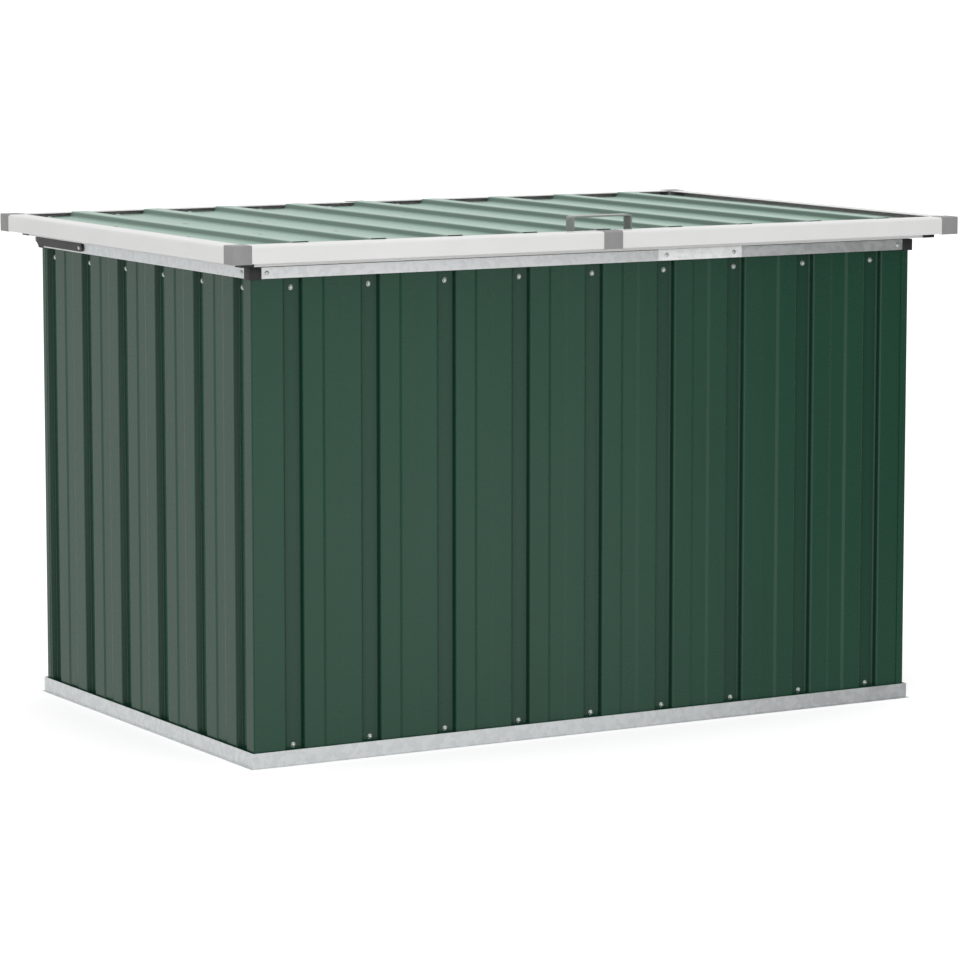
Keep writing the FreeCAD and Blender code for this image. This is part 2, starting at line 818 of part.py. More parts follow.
def add_lid_frame():
    """Lid rails, corner caps, clips and corner brackets."""
    holes = lid_screw_holes() + leaf_screw_holes()
    end = lid_length / 2 - cap_length
    rails = {}
    for corner, (side, at_end) in CORNERS.items():
        start, stop = sorted((0.0, at_end * end))
        rails["lid_rail_" + corner] = (side, start, stop, 0.0)
    side_end = lid_width / 2 - cap_length
    ledge_inset = rail_width + ledge_width - cap_length + ledge_clearance
    for side in ("left", "right"):
        rails["lid_rail_" + side] = (side, -side_end, side_end, ledge_inset)
    for name, (side, start, stop, inset) in rails.items():
        shape = place(lid_rail(start, stop, start + inset, stop - inset), side, LID_SIDES)
        parts[name] = cut_all(shape, holes)
    for corner, (side, at_end) in CORNERS.items():
        cap = lid_cap()
        parts["lid_cap_" + corner] = place(cap if at_end > 0 else mirrored(cap), side, LID_SIDES)
    for side in ("front", "rear"):
        parts["lid_rail_clip_" + side] = place(lid_clip(), side, LID_SIDES)
    brackets = []
    for side, at_end in CORNERS.values():
        bracket = lid_corner_bracket()
        brackets.append(place(bracket if at_end > 0 else mirrored(bracket), side, LID_SIDES))
    parts["lid_corner_brackets"] = Part.makeCompound(brackets)


def lid_cap():
    """A moulded cap over the right end of a side's lid rail, hollow from below."""
    corner = lid_length / 2
    body = box((corner - cap_length, 0, frame_bottom), (corner, cap_length, frame_top))
    upright = [edge for edge in body.Edges if outer_upright(edge, corner)]
    body = body.makeFillet(cap_round, upright)
    top = [edge for edge in body.Edges if outer_top(edge, corner)]
    body = body.makeFillet(cap_round, top)
    hollow = box(
        (corner - cap_length + cap_wall, cap_wall, frame_bottom),
        (corner - cap_wall, cap_length - cap_wall, frame_top - cap_wall))
    return body.cut(hollow)


def outer_upright(edge, corner):
    """Whether an edge is the upright one at the outer corner of a cap."""
    bounds = edge.BoundBox
    return bounds.XMin > corner - cap_round and bounds.YMax < cap_round and bounds.ZLength > cap_round


def outer_top(edge, corner):
    """Whether an edge is along the top of a cap's two outer faces, or round the corner between them."""
    bounds = edge.BoundBox
    on_top = bounds.ZMin > frame_top - cap_round
    return on_top and (bounds.XMin > corner - 2 * cap_round or bounds.YMax < 2 * cap_round)


def lid_clip():
    """A clip round the joint of two lid rails: over the outer face, the top and the underside."""
    half = clip_length / 2
    outer = box((-half, 0, frame_bottom), (half, clip_wrap, frame_top))
    top_edges = [edge for edge in outer.Edges if edge.BoundBox.ZMin > rail_top]
    outer_edge = [edge for edge in top_edges if edge.BoundBox.YMax < cover_proud]
    outer = outer.makeFillet(rail_round, outer_edge)
    inner = [
        (cover_proud, rail_bottom),
        (cover_proud, rail_top),
        (clip_wrap, rail_top),
        (clip_wrap, rail_bottom),
    ]
    return outer.cut(rail(inner, -half, half, {1: rail_round}))


def lid_corner_bracket():
    """An angle at the right end of a side, outside the lips of the two lid rails that meet there."""
    corner = lid_length / 2
    far = rail_width - rail_thickness
    near = far - corner_bracket_thickness
    reach = near + corner_bracket_leg
    low = frame_bottom - lip_height
    along = box((corner - reach, near, low), (corner - near, far, frame_bottom))
    across = box((corner - far, near, low), (corner - near, reach, frame_bottom))
    return along.fuse(across).removeSplitter()


def cap_notches():
    """Blocks round the corner caps, which leave the corners of the lid sheets clear of them."""
    near_x = lid_length / 2 - cap_length - sheet_edge_clearance
    near_y = lid_width / 2 - cap_length - sheet_edge_clearance
    notch = box((near_x, near_y, frame_bottom), (lid_length / 2, lid_width / 2, frame_top))
    far_notch = notch.mirror(Vector(0, 0, 0), Vector(0, 1, 0))
    return [notch, mirrored(notch), far_notch, mirrored(far_notch)]


def lid_sheet(start, end, grooves, offset):
    """A ribbed lid sheet: the wall profile laid flat, its edges on the rails' ledges, with ribs upwards."""
    edge = lid_width / 2 - lid_sheet_inset
    underside = lid_flat_top - sheet_thickness

    def to_point(along, depth):
        """The place of a point of the sheet's front end."""
        return Vector(along, -edge, underside + depth)

    face = sheet_face(start, end, grooves, False, offset, to_point)
    return cut_all(face.extrude(Vector(0, 2 * edge, 0)), lid_screw_holes() + cap_notches())


def cross_bar(y):
    """A channel under the lid sheets, notched at its ends for the ledges of the side rails."""
    end = lid_length / 2 - rail_width
    half = cross_bar_width / 2
    bottom = ledge_top - cross_bar_depth
    t = rail_thickness
    whole = box((-end, y - half, bottom), (end, y + half, ledge_top))
    hollow = box((-end, y - half + t, bottom), (end, y + half - t, ledge_top - t))
    ledge_edge = end - ledge_width - ledge_clearance
    notches = []
    for sign in (-1, 1):
        low_x, high_x = sorted((sign * ledge_edge, sign * end))
        notches.append(box((low_x, y - half, ledge_top - t - ledge_clearance), (high_x, y + half, ledge_top)))
    return cut_all(whole.cut(hollow), notches + lid_screw_holes())


def add_lid_cover():
    """Lid sheets, cross bars and lid screws."""
    sheet_end = lid_length / 2 - lid_sheet_inset
    long_grooves, short_grooves = split_grooves()
    lap_edge = groove_mouth / 2 + lap_past_groove
    lap = short_grooves[0]
    parts["lid_long_sheet"] = lid_sheet(-sheet_end, lap + lap_edge, long_grooves, 0)
    parts["lid_short_sheet"] = lid_sheet(lap - lap_edge, sheet_end, short_grooves, -sheet_thickness)
    parts["lid_cross_bar_front"] = cross_bar(-cross_bar_spread / 2)
    parts["lid_cross_bar_rear"] = cross_bar(cross_bar_spread / 2)
    grip = 2 * sheet_thickness + rail_thickness
    down = Vector(0, 0, -1)
    screws = []
    for x, y in lid_screw_spots():
        drop = short_sheet_drop(x)
        screws.append(screw(Vector(x, y, lid_flat_top - drop), down, grip - drop))
    parts["lid_screws"] = Part.makeCompound(screws)


def add_handle():
    """The handle, a strap bent to a staple with feet outwards, and its screws."""
    t = handle_thickness
    foot_top = lid_flat_top + t
    top = frame_top + handle_rise
    half = handle_length / 2
    foot_end = half + handle_foot
    front = handle_front_y()
    right_half = [
        (half - t, top - t, handle_bend - t),
        (half - t, lid_flat_top, 0),
        (foot_end, lid_flat_top, 0),
        (foot_end, foot_top, 0),
        (half, foot_top, 0),
        (half, top, handle_bend),
    ]
    outline = right_half + [(-x, z, radius) for x, z, radius in reversed(right_half)]
    face = outline_face([(Vector(x, front, z), radius) for x, z, radius in outline])
    parts["handle"] = cut_all(face.extrude(Vector(0, handle_width, 0)), lid_screw_holes())
    down = Vector(0, 0, -1)
    grip = t + 2 * sheet_thickness + rail_thickness
    parts["handle_screws"] = Part.makeCompound(
        [screw(Vector(x, y, foot_top), down, grip) for x, y in handle_screw_spots()])


def main():
    """Builds every piece and writes one file for each."""
    add_base_rails()
    add_walls()
    add_corner_strips()
    add_top_rails()
    add_connectors()
    add_bolts()
    add_hinges()
    add_lid_frame()
    add_lid_cover()
    add_handle()
    os.makedirs("parts", exist_ok=True)
    for name, shape in parts.items():
        shape.exportStep("parts/" + name + ".step")
        print(name, len(shape.Solids), shape.isValid(), round(shape.Volume))


main()
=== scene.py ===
"""Looks of the garden storage box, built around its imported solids, in metres."""

import logging
import math
from collections.abc import Callable, Iterable, Iterator
from contextlib import contextmanager
from dataclasses import dataclass
from enum import Enum

import bmesh
import bpy
from mathutils import Matrix, Vector


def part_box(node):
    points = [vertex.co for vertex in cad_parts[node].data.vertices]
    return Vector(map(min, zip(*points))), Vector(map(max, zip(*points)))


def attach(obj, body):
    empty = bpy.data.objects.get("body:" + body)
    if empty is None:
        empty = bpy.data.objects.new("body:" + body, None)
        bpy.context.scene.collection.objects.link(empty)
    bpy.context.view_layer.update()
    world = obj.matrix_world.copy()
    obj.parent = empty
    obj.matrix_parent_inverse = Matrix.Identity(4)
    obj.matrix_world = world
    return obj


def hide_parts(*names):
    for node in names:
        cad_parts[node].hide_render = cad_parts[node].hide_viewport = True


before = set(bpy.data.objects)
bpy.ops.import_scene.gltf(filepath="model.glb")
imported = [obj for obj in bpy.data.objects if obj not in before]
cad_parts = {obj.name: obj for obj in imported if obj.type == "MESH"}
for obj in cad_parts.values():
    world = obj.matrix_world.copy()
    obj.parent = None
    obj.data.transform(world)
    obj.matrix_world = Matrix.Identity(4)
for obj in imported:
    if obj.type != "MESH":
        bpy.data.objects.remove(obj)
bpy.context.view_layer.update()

log = logging.getLogger("storage_box")

MM = 0.001
GOLDEN_ANGLE = math.pi * (3 - math.sqrt(5))
SMOOTH_BELOW = math.radians(35)
ROUND_ABOVE = math.radians(40)
# A face whose normal has more than this share along a direction faces that way.
FACES = 0.9
# Points nearer than this are one point.
SAME_POINT = 0.001 * MM
# Places are put in order by metres rounded to this many digits.
ORDER_DIGITS = 4
# The values that cloudy noise mostly lies between.
NOISE_LOW, NOISE_HIGH = 0.25, 0.75
UP = Vector((0, 0, 1))
SIDE_NAMES = ("front", "rear", "left", "right")
CORNER_NAMES = ("front_left", "front_right", "rear_left", "rear_right")

Colour = tuple[float, float, float]
Stretch = tuple[float, float, float]
EVEN: Stretch = (1.0, 1.0, 1.0)


class Body(Enum):
    """The rigid bodies that pieces ride on."""

    BOX = "box"
    LID = "lid"


class Slot(Enum):
    """Names of material slots, which no piece in this script is given."""

    GREEN_SHEET = "green_sheet"
    GREY_PLASTIC = "grey_plastic"
    BLACK_PLASTIC = "black_plastic"
    ZINC_FASTENERS = "zinc_fasteners"
    HANDLE = "handle"


class Finish(Enum):
    """The finishes that pieces are dressed in."""

    GREEN_COAT = "green_coat"
    LID_COAT = "lid_coat"
    SCREW_PAINT = "screw_paint"
    GALVANISING = "galvanising"
    BRIGHT_ZINC = "lit_galvanising"
    NEW_ZINC = "new_zinc"
    PALE_PAINT = "pale_paint"
    GREY_PLASTIC = "grey_plastic"
    BLACK_PLASTIC = "black_plastic"
    BLACK_POWDER_COAT = "black_powder_coat"
    ZINC_PLATE = "zinc_plate"
    HANDLE_PAINT = "handle_paint"


class Graph:
    """The node tree of one material, with short calls that add and join its nodes."""

    def __init__(self, name: str) -> None:
        """Starts a material that holds a surface shader and Object coordinates.

        Args:
            name: the material's name.
        """
        self.material = bpy.data.materials.new(name)
        self.material.use_nodes = True
        self.tree = self.material.node_tree
        self.tree.nodes.clear()
        self.shader = self.add("ShaderNodeBsdfPrincipled")
        output = self.add("ShaderNodeOutputMaterial")
        self.join(self.shader.outputs["BSDF"], output.inputs["Surface"])
        self.place = self.add("ShaderNodeTexCoord").outputs["Object"]

    def add(self, kind: str) -> bpy.types.Node:
        """Adds a node of a kind to the tree."""
        return self.tree.nodes.new(kind)

    def join(self, source: bpy.types.NodeSocket, target: bpy.types.NodeSocket) -> None:
        """Links an output to an input."""
        self.tree.links.new(source, target)

    def set(self, socket: str, value: float | tuple) -> None:
        """Sets a value that is the same all over the surface on the shader's own socket."""
        self.shader.inputs[socket].default_value = value

    def feed(self, socket: str, source: bpy.types.NodeSocket) -> None:
        """Links a varying value to one of the shader's sockets."""
        self.join(source, self.shader.inputs[socket])

    def noise(self, per_metre: float, detail: float, stretch: Stretch = EVEN) -> bpy.types.NodeSocket:
        """Cloudy noise.

        Args:
            per_metre: blotches in a metre.
            detail: how many finer layers it holds.
            stretch: scale along each axis, below 1 for longer blotches.

        Returns:
            A value between 0 and 1, mostly near its middle.
        """
        mapping = self.add("ShaderNodeMapping")
        mapping.inputs["Scale"].default_value = stretch
        self.join(self.place, mapping.inputs["Vector"])
        noise = self.add("ShaderNodeTexNoise")
        noise.inputs["Scale"].default_value = per_metre
        noise.inputs["Detail"].default_value = detail
        self.join(mapping.outputs["Vector"], noise.inputs["Vector"])
        return noise.outputs["Fac"]

    def crystals(self, per_metre: float) -> bpy.types.NodeSocket:
        """Crystal cells, each with a random value of its own.

        Args:
            per_metre: cells in a metre.

        Returns:
            A value between 0 and 1 that is the same within a cell.
        """
        cells = self.add("ShaderNodeTexVoronoi")
        cells.inputs["Scale"].default_value = per_metre
        self.join(self.place, cells.inputs["Vector"])
        parts = self.add("ShaderNodeSeparateColor")
        self.join(cells.outputs["Color"], parts.inputs["Color"])
        return parts.outputs["Red"]

    def drift(self, source: bpy.types.NodeSocket, middle: float, by: float) -> bpy.types.NodeSocket:
        """Lets a number drift below and above its middle.

        Args:
            source: a value between 0 and 1.
            middle: the number's middle.
            by: how far the ends depart from it.

        Returns:
            The drifting number.
        """
        node = self.add("ShaderNodeMapRange")
        node.inputs["To Min"].default_value = middle - by
        node.inputs["To Max"].default_value = middle + by
        self.join(source, node.inputs["Value"])
        return node.outputs["Result"]

    def shades(self, source: bpy.types.NodeSocket, colour: Colour, drift: float) -> bpy.types.NodeSocket:
        """Lets a colour drift darker and lighter.

        Args:
            source: a value between 0 and 1.
            colour: the middle colour.
            drift: share by which the ends depart from it.

        Returns:
            The drifting colour.
        """
        node = self.add("ShaderNodeValToRGB")
        ends = ((NOISE_LOW, 1 - drift), (NOISE_HIGH, 1 + drift))
        for stop, (position, share) in zip(node.color_ramp.elements, ends):
            stop.position = position
            stop.color = (*(channel * share for channel in colour), 1)
        self.join(source, node.inputs["Fac"])
        return node.outputs["Color"]

    def paint_shade_in_folds(self, colour: bpy.types.NodeSocket, reach: float) -> bpy.types.NodeSocket:
        """Paints shade into a colour where the piece's own folds stand close by, with an ambient occlusion
        node.

        Args:
            colour: the colour on open faces.
            reach: how far the painted shade reaches from a fold, in metres.

        Returns:
            The colour, with painted shade in grooves.
        """
        node = self.add("ShaderNodeAmbientOcclusion")
        node.only_local = True
        node.inputs["Distance"].default_value = reach
        self.join(colour, node.inputs["Color"])
        return node.outputs["Color"]

    def relief(
        self, height: bpy.types.NodeSocket, rise: float, under: bpy.types.NodeSocket | None = None
    ) -> bpy.types.NodeSocket:
        """Turns a value into bumps.

        Args:
            height: a value between 0 and 1.
            rise: height in metres of the value 1.
            under: the normal of a relief that this one lies on.

        Returns:
            The normal.
        """
        node = self.add("ShaderNodeBump")
        node.inputs["Distance"].default_value = rise
        self.join(height, node.inputs["Height"])
        if under is not None:
            self.join(under, node.inputs["Normal"])
        return node.outputs["Normal"]


@dataclass(frozen=True)
class SheetCoat:
    """A glossy coil coat on thin steel sheet, which is never quite flat, may pale at low angles and has shade
    painted into its grooves.
    """

    colour: Colour
    gloss: float = 0.4
    roughness: float = 0.27
    colour_drift: float = 0.05
    waves_per_metre: float = 5.0
    wave_stretch: Stretch = (1.0, 1.0, 0.4)
    wave_rise: float = 1.0 * MM
    grain_per_metre: float = 900.0
    grain_rise: float = 0.0015 * MM
    gloss_drift: float = 0.03
    # How far the painted shade in the grooves reaches from a fold.
    fold_shade_reach: float = 40.0 * MM
    sheen: float = 0.0
    sheen_roughness: float = 0.65
    sheen_tint: Colour = (1.0, 1.0, 1.0)

    def material(self, name: str) -> bpy.types.Material:
        """Makes the coat's material.

        Args:
            name: the material's name.

        Returns:
            The material.
        """
        graph = Graph(name)
        graph.set("Specular IOR Level", self.gloss)
        graph.set("Sheen Weight", self.sheen)
        graph.set("Sheen Roughness", self.sheen_roughness)
        graph.set("Sheen Tint", (*self.sheen_tint, 1))
        cloud = graph.noise(self.waves_per_metre, detail=3, stretch=self.wave_stretch)
        grain = graph.noise(self.grain_per_metre, detail=2)
        colour = graph.shades(cloud, self.colour, self.colour_drift)
        # The base colour carries painted shade in the grooves and folds.
        graph.feed("Base Color", graph.paint_shade_in_folds(colour, self.fold_shade_reach))
        graph.feed("Roughness", graph.drift(grain, self.roughness, self.gloss_drift))
        sheet = graph.relief(cloud, self.wave_rise)
        graph.feed("Normal", graph.relief(grain, self.grain_rise, sheet))
        return graph.material


@dataclass(frozen=True)
class Galvanising:
    """Hot-dip zinc on steel: dull metal with crystals of differing shade and gloss."""

    colour: Colour
    roughness: float = 0.34
    metallic: float = 0.85
    crystal_drift: float = 0.055
    crystals_per_metre: float = 110.0
    gloss_drift: float = 0.04
    haze_per_metre: float = 14.0
    haze_rise: float = 0.25 * MM

    def material(self, name: str) -> bpy.types.Material:
        """Makes the zinc's material.

        Args:
            name: the material's name.

        Returns:
            The material.
        """
        graph = Graph(name)
        crystals = graph.crystals(self.crystals_per_metre)
        haze = graph.noise(self.haze_per_metre, detail=4)
        graph.set("Metallic", self.metallic)
        graph.feed("Base Color", graph.shades(crystals, self.colour, self.crystal_drift))
        graph.feed("Roughness", graph.drift(crystals, self.roughness, self.gloss_drift))
        graph.feed("Normal", graph.relief(haze, self.haze_rise))
        return graph.material


@dataclass(frozen=True)
class SatinCoat:
    """A satin paint on formed metal, with a faint cloudiness and a fine spray texture."""

    colour: Colour
    roughness: float = 0.38
    colour_drift: float = 0.03
    gloss_drift: float = 0.08
    clouds_per_metre: float = 9.0
    spray_per_metre: float = 650.0
    spray_rise: float = 0.02 * MM

    def material(self, name: str) -> bpy.types.Material:
        """Makes the paint's material.

        Args:
            name: the material's name.

        Returns:
            The material.
        """
        graph = Graph(name)
        cloud = graph.noise(self.clouds_per_metre, detail=4)
        spray = graph.noise(self.spray_per_metre, detail=2)
        graph.feed("Base Color", graph.shades(cloud, self.colour, self.colour_drift))
        graph.feed("Roughness", graph.drift(cloud, self.roughness, self.gloss_drift))
        graph.feed("Normal", graph.relief(spray, self.spray_rise))
        return graph.material


@dataclass(frozen=True)
class MouldedPlastic:
    """Moulded plastic with the fine eroded texture of its mould."""

    colour: Colour
    roughness: float = 0.48
    colour_drift: float = 0.06
    gloss_drift: float = 0.1
    clouds_per_metre: float = 40.0
    texture_per_metre: float = 1400.0
    texture_rise: float = 0.05 * MM

    def material(self, name: str) -> bpy.types.Material:
        """Makes the plastic's material.

        Args:
            name: the material's name.

        Returns:
            The material.
        """
        graph = Graph(name)
        cloud = graph.noise(self.clouds_per_metre, detail=3)
        texture = graph.noise(self.texture_per_metre, detail=3)
        graph.feed("Base Color", graph.shades(cloud, self.colour, self.colour_drift))
        graph.feed("Roughness", graph.drift(texture, self.roughness, self.gloss_drift))
        graph.feed("Normal", graph.relief(texture, self.texture_rise))
        return graph.material


@dataclass(frozen=True)
class ZincPlate:
    """Bright zinc plating on small fasteners, slightly mottled."""

    colour: Colour
    roughness: float = 0.3
    colour_drift: float = 0.08
    gloss_drift: float = 0.1
    mottle_per_metre: float = 700.0

    def material(self, name: str) -> bpy.types.Material:
        """Makes the plating's material.

        Args:
            name: the material's name.

        Returns:
            The material.
        """
        graph = Graph(name)
        mottle = graph.noise(self.mottle_per_metre, detail=3)
        graph.set("Metallic", 1.0)
        graph.feed("Base Color", graph.shades(mottle, self.colour, self.colour_drift))
        graph.feed("Roughness", graph.drift(mottle, self.roughness, self.gloss_drift))
        return graph.material


GREEN: Colour = (0.0085, 0.053, 0.029)
FINISHES = {
    Finish.GREEN_COAT: SheetCoat(GREEN),
    Finish.LID_COAT: SheetCoat(
        GREEN,
        gloss=0.33,
        roughness=0.3,
        wave_rise=0.3 * MM,
        sheen=1.0,
        sheen_tint=(0.345, 0.475, 0.413),
    ),
    Finish.SCREW_PAINT: SatinCoat((0.40, 0.46, 0.43)),
    Finish.GALVANISING: Galvanising((0.715, 0.74, 0.745)),
    # A lighter copy of the galvanising, as painted light: it offsets the lid's shade and the dim reflections
    # on the front and rear top rails.
    Finish.BRIGHT_ZINC: Galvanising((0.80, 0.82, 0.825)),
    Finish.NEW_ZINC: Galvanising((0.96, 0.97, 0.975), metallic=0.2),
    Finish.PALE_PAINT: SatinCoat((0.665, 0.665, 0.66)),
    Finish.GREY_PLASTIC: MouldedPlastic((0.236, 0.236, 0.236)),
    Finish.BLACK_PLASTIC: MouldedPlastic((0.014, 0.014, 0.014)),
    Finish.BLACK_POWDER_COAT: SatinCoat((0.012, 0.012, 0.012), spray_rise=0.05 * MM),
    Finish.ZINC_PLATE: ZincPlate((0.74, 0.79, 0.765)),
    Finish.HANDLE_PAINT: SatinCoat((0.19, 0.21, 0.20), roughness=0.28),
}
materials = {finish: recipe.material(finish.value) for finish, recipe in FINISHES.items()}


def deselect() -> None:
    """Leaves no object selected."""
    bpy.ops.object.select_all(action="DESELECT")


def take(*objects: bpy.types.Object) -> None:
    """Selects objects alone, the first of them active.

    Args:
        objects: what is selected.
    """
    deselect()
    for item in objects:
        item.select_set(True)
    bpy.context.view_layer.objects.active = objects[0]


def settle(piece: bpy.types.Object) -> None:
    """Puts a piece's place, turn and scale into its mesh."""
    take(piece)
    bpy.ops.object.transform_apply(location=True, rotation=True, scale=True)


def start_block(name: str, low: Vector, high: Vector) -> bpy.types.Object:
    """Adds a block between two corners, to be shaped further.

    Args:
        name: the object's name.
        low: lowest corner.
        high: highest corner.

    Returns:
        The block.
    """
    deselect()
    bpy.ops.mesh.primitive_cube_add(size=1, location=(low + high) / 2, scale=high - low)
    block = bpy.context.object
    block.name = name
    settle(block)
    return block


def start_disc(name: str, radius: float, sides: int, height: float = 0.0) -> bpy.types.Object:
    """Adds a flat disc about the upright axis, to be raised further.

    Args:
        name: the object's name.
        radius: the disc's radius.
        sides: how many sides its rim has.
        height: its place along the axis.

    Returns:
        The disc.
    """
    deselect()
    place = Vector((0, 0, height))
    bpy.ops.mesh.primitive_circle_add(vertices=sides, radius=radius, fill_type="NGON", location=place)
    disc = bpy.context.object
    disc.name = name
    settle(disc)
    return disc


@contextmanager
def editing(piece: bpy.types.Object) -> Iterator[None]:
    """Opens a piece in edit mode with all of it selected, and closes it again.

    Args:
        piece: the piece.

    Returns:
        What a with statement takes.
    """
    take(piece)
    bpy.ops.object.mode_set(mode="EDIT")
    bpy.ops.mesh.select_all(action="SELECT")
    yield
    bpy.ops.object.mode_set(mode="OBJECT")


def pick_faces(piece: bpy.types.Object, test: Callable[[Vector, Vector], bool]) -> None:
    """Selects faces of the piece in edit mode.

    Args:
        piece: the piece.
        test: says of a face's centre and normal whether the face is selected.
    """
    bpy.ops.mesh.select_mode(type="FACE")
    bpy.ops.mesh.select_all(action="DESELECT")
    mesh = bmesh.from_edit_mesh(piece.data)
    mesh.normal_update()
    for face in mesh.faces:
        face.select_set(test(face.calc_center_median(), face.normal))
    bmesh.update_edit_mesh(piece.data)


def pull_out(distance: Vector, share: float = 1.0, centre: Vector | None = None) -> None:
    """Extrudes what is selected, and may draw its new end in.

    Args:
        distance: how far the new end moves.
        share: scale of the new end in the plane across the upright axis.
        centre: point that the new end is drawn in to.
    """
    bpy.ops.mesh.extrude_region_move(TRANSFORM_OT_translate={"value": distance})
    if centre is not None:
        bpy.ops.transform.resize(value=(share, share, 1), center_override=centre)


def face_outwards() -> None:
    """Points every face of the piece in edit mode outwards."""
    bpy.ops.mesh.select_all(action="SELECT")
    bpy.ops.mesh.normals_make_consistent(inside=False)


def apply_modifier(piece: bpy.types.Object, kind: str, **settings: object) -> None:
    """Adds a modifier to a piece and applies it.

    Args:
        piece: the piece.
        kind: the modifier's type.
        settings: its properties.
    """
    take(piece)
    modifier = piece.modifiers.new(kind.lower(), kind)
    for name, value in settings.items():
        setattr(modifier, name, value)
    bpy.ops.object.modifier_apply(modifier=modifier.name)


def carve(piece: bpy.types.Object, cutter: bpy.types.Object) -> None:
    """Cuts one mesh out of another and removes the cutter."""
    apply_modifier(piece, "BOOLEAN", object=cutter, operation="DIFFERENCE", solver="EXACT")
    bpy.data.objects.remove(cutter)


def round_edges(piece: bpy.types.Object, width: float, segments: int) -> None:
    """Rounds a piece's sharp edges.

    Args:
        piece: the piece.
        width: size of the rounding.
        segments: faces across it.
    """
    settings = {"limit_method": "ANGLE", "angle_limit": ROUND_ABOVE}
    apply_modifier(piece, "BEVEL", width=width, segments=segments, **settings)


def soften(piece: bpy.types.Object, width: float, segments: int = 2) -> None:
    """Rounds a piece's sharp edges and shades it smooth between them.

    Args:
        piece: the piece.
        width: size of the rounding.
        segments: faces across it.
    """
    round_edges(piece, width, segments)
    take(piece)
    bpy.ops.object.shade_smooth_by_angle(angle=SMOOTH_BELOW)


def join(name: str, pieces: list[bpy.types.Object]) -> bpy.types.Object:
    """Joins meshes into one object.

    Args:
        name: the object's name.
        pieces: the meshes.

    Returns:
        The object.
    """
    take(*pieces)
    if len(pieces) > 1:
        bpy.ops.object.join()
    whole = bpy.context.object
    whole.name = name
    return whole


def copies(name: str, master: bpy.types.Object, places: Iterable[Matrix]) -> bpy.types.Object:
    """Copies a mesh to many places, and removes the one it was modelled on.

    Args:
        name: name of the object that holds the copies.
        master: the mesh at the origin.
        places: where each copy goes.

    Returns:
        One object with a shell for each place.
    """
    made = []
    for place in places:
        copy = master.copy()
        copy.data = master.data.copy()
        copy.matrix_world = place
        bpy.context.scene.collection.objects.link(copy)
        settle(copy)
        made.append(copy)
    bpy.data.objects.remove(master)
    return join(name, made)


def solid_boxes(node: str) -> list[tuple[Vector, Vector]]:
    """Finds the separate solids of a CAD node.

    Args:
        node: the node's name.

    Returns:
        The lowest and highest corner of each solid.
    """
    mesh = bmesh.new()
    mesh.from_mesh(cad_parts[node].data)
    bmesh.ops.remove_doubles(mesh, verts=mesh.verts, dist=SAME_POINT)
    waiting = set(mesh.verts)
    boxes = []
    while waiting:
        edge_of_search = [waiting.pop()]
        points = []
        while edge_of_search:
            vertex = edge_of_search.pop()
            points.append(vertex.co.copy())
            for edge in vertex.link_edges:
                other = edge.other_vert(vertex)
                if other in waiting:
                    waiting.remove(other)
                    edge_of_search.append(other)
        low = Vector(min(point[axis] for point in points) for axis in range(3))
        high = Vector(max(point[axis] for point in points) for axis in range(3))
        boxes.append((low, high))
    mesh.free()
    return sorted(boxes, key=lambda corners: tuple(round(value, ORDER_DIGITS) for value in corners[0]))


def outwards(point: Vector) -> Vector:
    """Finds which side of the box a point lies on.

    Args:
        point: a point on one of the four sides.

    Returns:
        The direction that the nearest side faces.
    """
    faces = {
        point.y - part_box("base_rail_front")[0].y: Vector((0, -1, 0)),
        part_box("base_rail_rear")[1].y - point.y: Vector((0, 1, 0)),
        point.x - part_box("base_rail_left")[0].x: Vector((-1, 0, 0)),
        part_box("base_rail_right")[1].x - point.x: Vector((1, 0, 0)),
    }
    return faces[min(faces)]


def standing_on(seat: Vector, direction: Vector, turn: float) -> Matrix:
    """Works out the place of a fastener.

    Args:
        seat: where its axis meets the surface that it sits on.
        direction: where its head points.
        turn: angle of its recess about the axis.

    Returns:
        The matrix from the fastener's own frame, where the head points up.
    """
    tilt = UP.rotation_difference(direction).to_matrix().to_4x4()
    return Matrix.Translation(seat) @ tilt @ Matrix.Rotation(turn, 4, "Z")


def dress(finish: Finish, *nodes: str) -> None:
    """Gives CAD nodes a finish.

    Args:
        finish: the finish.
        nodes: the nodes' names.
    """
    for node in nodes:
        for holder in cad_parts[node].material_slots:
            holder.material = materials[finish]
        log.info("dressed %s in %s", node, finish.value)


def mount(piece: bpy.types.Object, body: Body, finish: Finish, node: str) -> None:
    """Dresses a finished piece and puts it on its body in place of a CAD node.

    Args:
        piece: the piece.
        body: what it rides on.
        finish: the finish it takes.
        node: the CAD node that it stands for.
    """
    piece.data.materials.clear()
    piece.data.materials.append(materials[finish])
    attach(piece, body.value)
    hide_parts(node)
    log.info("built %s with %d faces", piece.name, len(piece.data.polygons))


